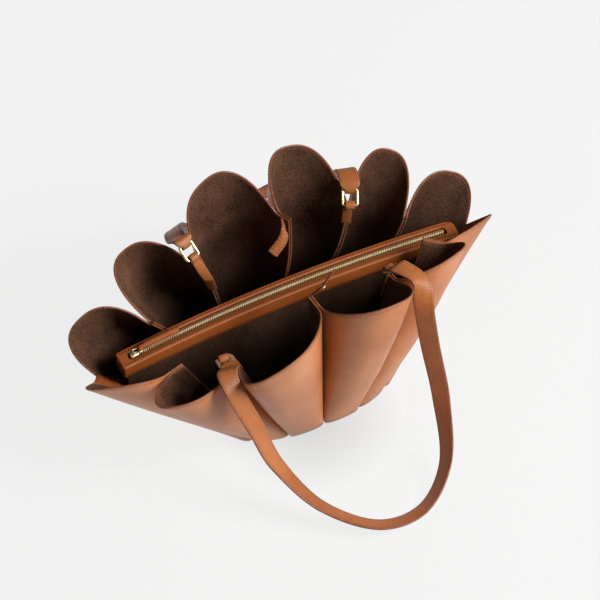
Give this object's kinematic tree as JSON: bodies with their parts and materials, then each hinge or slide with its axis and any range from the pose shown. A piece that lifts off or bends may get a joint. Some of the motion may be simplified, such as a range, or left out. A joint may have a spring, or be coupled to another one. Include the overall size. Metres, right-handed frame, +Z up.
{
  "type": "leather tote bag",
  "caption": "Soft leather tote bag in the form of an open shell: fluted wedge panels round an oval base, a zipped pocket down the middle and two strap handles on square rings.",
  "frame": {"origin": "middle of the base panel's underside", "axes": "+X along the bag's length, -Y towards its front, +Z up"},
  "size_m": [0.4611, 0.4307, 0.2424],
  "materials": {
    "outer_leather": "smooth camel calf leather with a low soft sheen",
    "strap_leather": "smooth orange-brown leather with stitched edges",
    "suede": "matt dark brown suede",
    "zip_tape": "woven ochre-brown zip tape",
    "gold": "polished pale gold plating"
  },
  "bodies": {
    "root": {"front_petal_1": "outer_leather", "front_petal_2": "outer_leather", "front_petal_3": "outer_leather", "front_petal_4": "outer_leather", "front_petal_5": "outer_leather", "front_petal_6": "outer_leather", "back_petal_1": "outer_leather", "back_petal_2": "outer_leather", "back_petal_3": "outer_leather", "back_petal_4": "outer_leather", "back_petal_5": "outer_leather", "back_petal_6": "outer_leather", "base_panel": "outer_leather", "side_strip_left": "strap_leather", "side_strip_right": "strap_leather", "pocket_pouch": "suede", "pocket_band": "strap_leather", "zip_tape_front": "zip_tape", "zip_tape_back": "zip_tape", "zip_teeth": "gold", "zip_slider": "gold", "zip_link": "gold", "zip_pull": "strap_leather", "ring_front_left": "gold", "ring_front_right": "gold", "ring_back_left": "gold", "ring_back_right": "gold", "ring_tab_front_left": "strap_leather", "ring_tab_front_right": "strap_leather", "ring_tab_back_left": "strap_leather", "ring_tab_back_right": "strap_leather", "handle_front": "strap_leather", "handle_back": "strap_leather", "closure_strap_back": "strap_leather", "closure_strap_front": "strap_leather", "closure_stud": "gold"}
  },
  "joints": []
}
